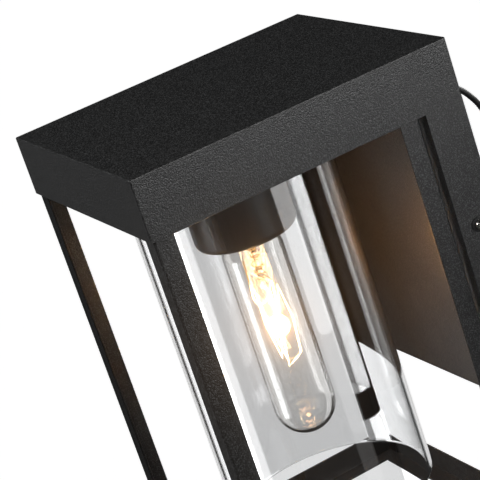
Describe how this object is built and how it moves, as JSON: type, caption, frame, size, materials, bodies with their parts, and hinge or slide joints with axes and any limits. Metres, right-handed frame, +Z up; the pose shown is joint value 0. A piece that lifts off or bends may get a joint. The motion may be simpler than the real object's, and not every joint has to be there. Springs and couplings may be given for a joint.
{
  "type": "outdoor wall lantern",
  "caption": "Boxy outdoor wall lantern: flat roof welded to a wall box, open angle-steel cage, clear glass cylinder and tubular filament bulb, with a supply lead at the back.",
  "frame": {"origin": "middle of the mounting plate's rear face, on the wall plane", "axes": "+X to the right for a viewer facing the lantern, +Y into the wall, +Z up"},
  "size_m": [0.1528, 0.2111, 0.24],
  "materials": {
    "black_coat": "sandy black powder coat",
    "cup_black": "satin black lacquer",
    "zinc": "zinc-plated steel",
    "nickel": "bright nickel",
    "brass": "plain brass",
    "copper": "bare copper",
    "shade_glass": "clear glass, very slightly grey",
    "bulb_glass": "clear glass",
    "phenolic": "moulded phenolic",
    "silicone": "translucent grey silicone",
    "rubber": "black rubber",
    "tungsten": "glowing tungsten wire",
    "black_wire": "black PVC insulation",
    "white_wire": "white PVC insulation",
    "green_wire": "green PVC insulation",
    "green_screw": "green grounding screw"
  },
  "bodies": {
    "lantern": {"housing_shell": "black_coat", "bottom_ring": "black_coat", "lamp_plate": "black_coat", "post_front_left": "black_coat", "post_front_right": "black_coat", "post_rear_left": "black_coat", "post_rear_right": "black_coat", "plate_bracket_left": "zinc", "plate_bracket_right": "zinc", "plate_screw_front_left": "black_coat", "plate_screw_front_right": "black_coat", "plate_screw_rear_left": "black_coat", "plate_screw_rear_right": "black_coat", "glass_cylinder": "shade_glass", "glass_gasket_upper": "silicone", "glass_gasket_lower": "silicone", "glass_spacer": "phenolic", "socket_cup": "cup_black", "socket_body": "phenolic", "socket_screw_shell": "brass", "centre_contact": "brass", "threaded_nipple": "zinc", "nipple_washer": "zinc", "nipple_nut": "zinc", "mounting_plate": "zinc", "wall_gasket": "rubber", "lead_grommet": "rubber", "ground_screw": "green_screw", "inner_lead_black": "black_wire", "inner_lead_white": "white_wire", "ground_lead": "green_wire", "supply_lead": "black_wire", "supply_lead_copper": "copper"},
    "bulb_carrier": {"bulb_tip_contact": "brass"},
    "bulb": {"bulb_glass": "bulb_glass", "bulb_base": "nickel", "bulb_insulator": "phenolic", "bulb_stem": "bulb_glass", "bulb_filament": "tungsten"},
    "clamp_carrier_left": {"clamp_washer_left": "rubber"},
    "clamp_left": {"clamp_screw_left": "nickel"},
    "clamp_carrier_right": {"clamp_washer_right": "rubber"},
    "clamp_right": {"clamp_screw_right": "nickel"}
  },
  "joints": [
    {"name": "bulb_lower", "type": "slide", "parent": "lantern", "child": "bulb_carrier", "axis": [0, 0, -1], "range_m": [0, 0.02182]},
    {"name": "bulb_unscrew", "type": "hinge", "parent": "bulb_carrier", "child": "bulb", "pos_m": [0, -0.09075, 0], "axis": [0, 0, -1], "range_deg": [0, 2160]},
    {"name": "clamp_left_out", "type": "slide", "parent": "lantern", "child": "clamp_carrier_left", "axis": [-1, 0, 0], "range_m": [0, 0.006]},
    {"name": "clamp_left_unscrew", "type": "hinge", "parent": "clamp_carrier_left", "child": "clamp_left", "pos_m": [-0.073, -0.0105, 0], "axis": [-1, 0, 0], "range_deg": [0, 4321]},
    {"name": "clamp_right_out", "type": "slide", "parent": "lantern", "child": "clamp_carrier_right", "axis": [1, 0, 0], "range_m": [0, 0.006]},
    {"name": "clamp_right_unscrew", "type": "hinge", "parent": "clamp_carrier_right", "child": "clamp_right", "pos_m": [0.073, -0.0105, 0], "axis": [1, 0, 0], "range_deg": [0, 4321]}
  ],
  "couplings": [
    {"joint": "bulb_lower", "follows": "bulb_unscrew", "m_per_rad": 0.00057757},
    {"joint": "clamp_left_unscrew", "follows": "clamp_left_out", "rad_per_m": 12566},
    {"joint": "clamp_right_unscrew", "follows": "clamp_right_out", "rad_per_m": 12566}
  ]
}
